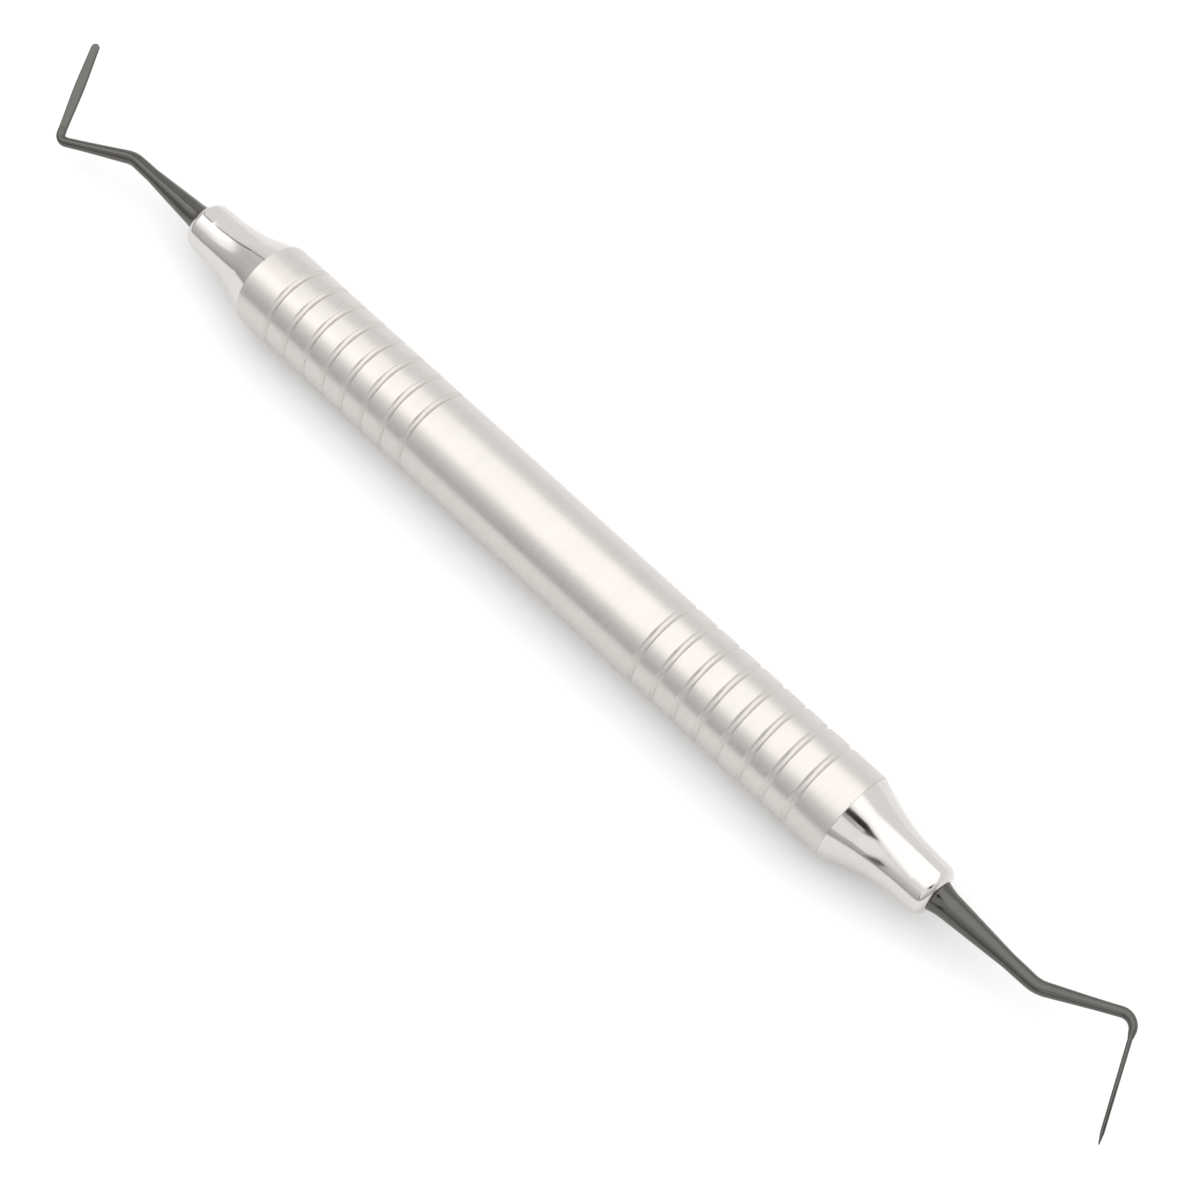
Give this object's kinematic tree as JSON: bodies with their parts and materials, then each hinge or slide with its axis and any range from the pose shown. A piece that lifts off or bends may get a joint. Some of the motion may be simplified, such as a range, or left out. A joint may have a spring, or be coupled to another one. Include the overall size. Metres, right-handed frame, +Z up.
{
  "type": "double-ended dental hand instrument",
  "caption": "Double-ended dental hand instrument with a ringed hollow grip, polished necks, and bent dark shanks that end in thin flat blades set a quarter turn apart.",
  "frame": {"origin": "under the middle of the grip, on the surface the grip lies on", "axes": "+X along the grip towards end B, +Z up"},
  "size_m": [0.1596, 0.013, 0.01],
  "materials": {
    "satin_grip": "satin, turned round the axis",
    "polished_neck": "polished",
    "filler_metal": "as brazed",
    "dark_coating": "dark hard coating, semi-gloss"
  },
  "bodies": {
    "root": {"grip_tube": "satin_grip", "neck_cone_a": "polished_neck", "neck_cone_b": "polished_neck", "neck_seal_ring_a": "filler_metal", "neck_seal_ring_b": "filler_metal", "working_end_a": "dark_coating", "working_end_b": "dark_coating"}
  },
  "joints": []
}
